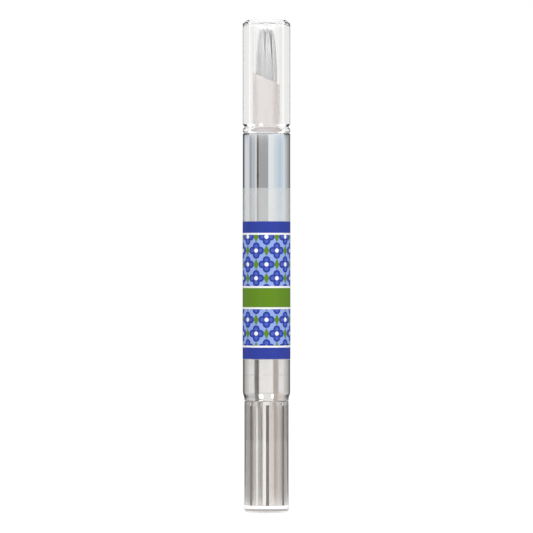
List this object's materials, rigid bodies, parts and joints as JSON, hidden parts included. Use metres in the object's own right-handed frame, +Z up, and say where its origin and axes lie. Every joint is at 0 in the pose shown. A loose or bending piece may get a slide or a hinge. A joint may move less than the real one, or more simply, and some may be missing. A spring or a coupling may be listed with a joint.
{
  "type": "nail oil pen",
  "caption": "Slim upright twist pen with a clear cap over a bristle tuft, a silver collar, a wrapped label and a clear knob that turns to push oil up to the bristles.",
  "frame": {"origin": "centre of the knob's foot, on the surface that the pen stands on", "axes": "+Z up the pen towards the cap, -Y towards the front, +X to the right"},
  "size_m": [0.0124, 0.0125, 0.1286],
  "materials": {
    "clear_styrene": "clear, polished mould",
    "silver_aluminium": "polished",
    "printed_film": "satin film, printed, with a frosted strip at the top",
    "natural_polypropylene": "moulded, smooth",
    "nylon_filament": "fine straight bristles",
    "seal_rubber": "moulded",
    "white_polyethylene": "moulded, waxy",
    "silvered_plastic": "vacuum-plated, satin silver",
    "white_acetal": "moulded, satin"
  },
  "bodies": {
    "barrel": {"barrel": "clear_styrene", "label_film": "printed_film", "collar": "silver_aluminium", "applicator_nozzle": "natural_polypropylene", "nozzle_seal": "seal_rubber", "tuft_retainer": "natural_polypropylene", "feed_tube": "natural_polypropylene", "bristle_tuft": "nylon_filament", "end_bush": "silvered_plastic", "ratchet_ring": "silvered_plastic", "drive_nut": "white_acetal"},
    "cap": {"cap": "clear_styrene"},
    "knob": {"knob": "clear_styrene", "drive_sleeve": "silvered_plastic", "pawl_ring": "white_acetal"},
    "screw": {"lead_screw": "white_acetal"},
    "piston": {"piston": "white_polyethylene"}
  },
  "joints": [
    {"name": "cap_pull", "type": "slide", "parent": "barrel", "child": "cap", "axis": [0, 0, 1], "range_m": [0, 0.04]},
    {"name": "knob_turn", "type": "hinge", "parent": "barrel", "child": "knob", "pos_m": [0, 0, 0], "axis": [0, 0, 1], "range_deg": [0, 6840], "deforming": ["pawl_ring"]},
    {"name": "screw_advance", "type": "slide", "parent": "knob", "child": "screw", "axis": [0, 0, 1], "range_m": [0, 0.038]},
    {"name": "piston_slide", "type": "slide", "parent": "barrel", "child": "piston", "axis": [0, 0, 1], "range_m": [0, 0.038]}
  ],
  "couplings": [
    {"joint": "screw_advance", "follows": "knob_turn", "m_per_rad": 0.00031831},
    {"joint": "piston_slide", "follows": "knob_turn", "m_per_rad": 0.00031831}
  ]
}
